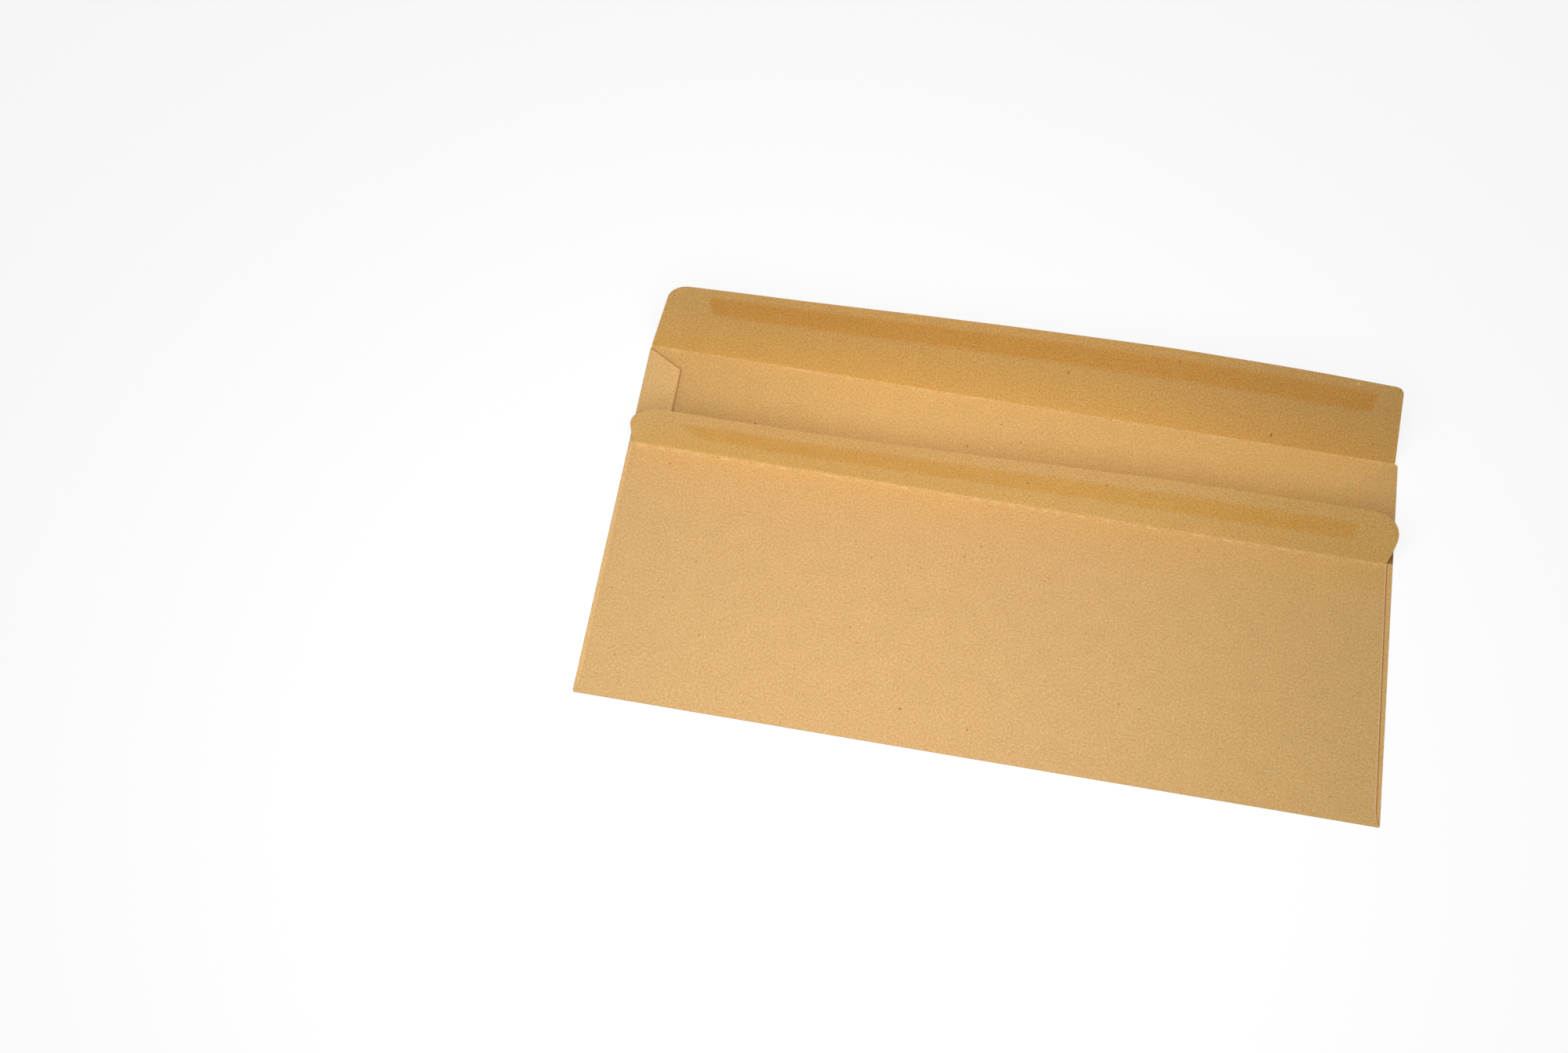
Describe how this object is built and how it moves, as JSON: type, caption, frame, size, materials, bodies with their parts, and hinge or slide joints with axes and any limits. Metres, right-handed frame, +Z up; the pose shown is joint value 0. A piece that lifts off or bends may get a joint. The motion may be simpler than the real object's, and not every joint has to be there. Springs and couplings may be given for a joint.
{
  "type": "paper envelope",
  "caption": "Long brown kraft wallet envelope lying open on its front, its gummed main flap and mouth flap sprung up from their creases over the empty pocket.",
  "frame": {"origin": "middle of the front panel's outer face, which the envelope lies on", "axes": "+X across the envelope along its bottom fold, +Y from the bottom fold to the main flap, +Z up out of the back panel"},
  "size_m": [0.22, 0.1222, 0.0268],
  "materials": {
    "kraft_paper": "matte",
    "dried_gum": "satin"
  },
  "bodies": {
    "root": {"envelope": "kraft_paper", "flap_gum": "dried_gum", "mouth_gum": "dried_gum"}
  },
  "joints": []
}
